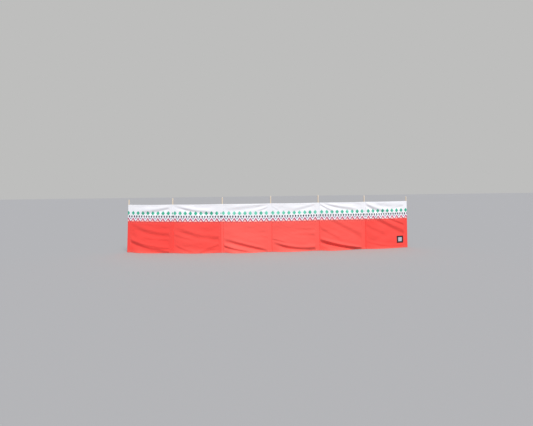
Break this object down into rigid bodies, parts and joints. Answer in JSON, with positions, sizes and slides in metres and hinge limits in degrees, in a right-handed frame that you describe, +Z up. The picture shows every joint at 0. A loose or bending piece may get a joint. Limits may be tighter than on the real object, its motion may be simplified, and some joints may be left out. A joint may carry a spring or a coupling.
{
  "type": "beach windbreak",
  "caption": "Long fabric windbreak in a row of square bays on round wooden poles, with a slack, buckled foot and poles that stand up above the cloth.",
  "frame": {"origin": "centre of the middle pole's foot, at ground level", "axes": "+X along the fence to the right as the printed front is seen, +Y behind the printed front, +Z up"},
  "size_m": [7.1917, 0.4833, 1.3882],
  "materials": {
    "pole_wood": "plain, lightly weathered",
    "printed_cloth": "matt woven polyester, printed",
    "pocket_cloth": "matt woven polyester, reverse of the print",
    "top_hem_cloth": "matt woven polyester",
    "foot_hem_cloth": "matt woven polyester",
    "label_cloth": "smooth woven patch"
  },
  "bodies": {
    "root": {"pole_1": "pole_wood", "pocket_1": "pocket_cloth", "pole_2": "pole_wood", "pocket_2": "pocket_cloth", "pole_3": "pole_wood", "pocket_3": "pocket_cloth", "pole_4": "pole_wood", "pocket_4": "pocket_cloth", "pole_5": "pole_wood", "pocket_5": "pocket_cloth", "pole_6": "pole_wood", "pocket_6": "pocket_cloth", "pole_7": "pole_wood", "pocket_7": "pocket_cloth", "panel_1": "printed_cloth", "top_hem_1": "top_hem_cloth", "foot_hem_1": "foot_hem_cloth", "panel_2": "printed_cloth", "top_hem_2": "top_hem_cloth", "foot_hem_2": "foot_hem_cloth", "panel_3": "printed_cloth", "top_hem_3": "top_hem_cloth", "foot_hem_3": "foot_hem_cloth", "panel_4": "printed_cloth", "top_hem_4": "top_hem_cloth", "foot_hem_4": "foot_hem_cloth", "panel_5": "printed_cloth", "top_hem_5": "top_hem_cloth", "foot_hem_5": "foot_hem_cloth", "panel_6": "printed_cloth", "top_hem_6": "top_hem_cloth", "foot_hem_6": "foot_hem_cloth", "sewn_label": "label_cloth"}
  },
  "joints": []
}
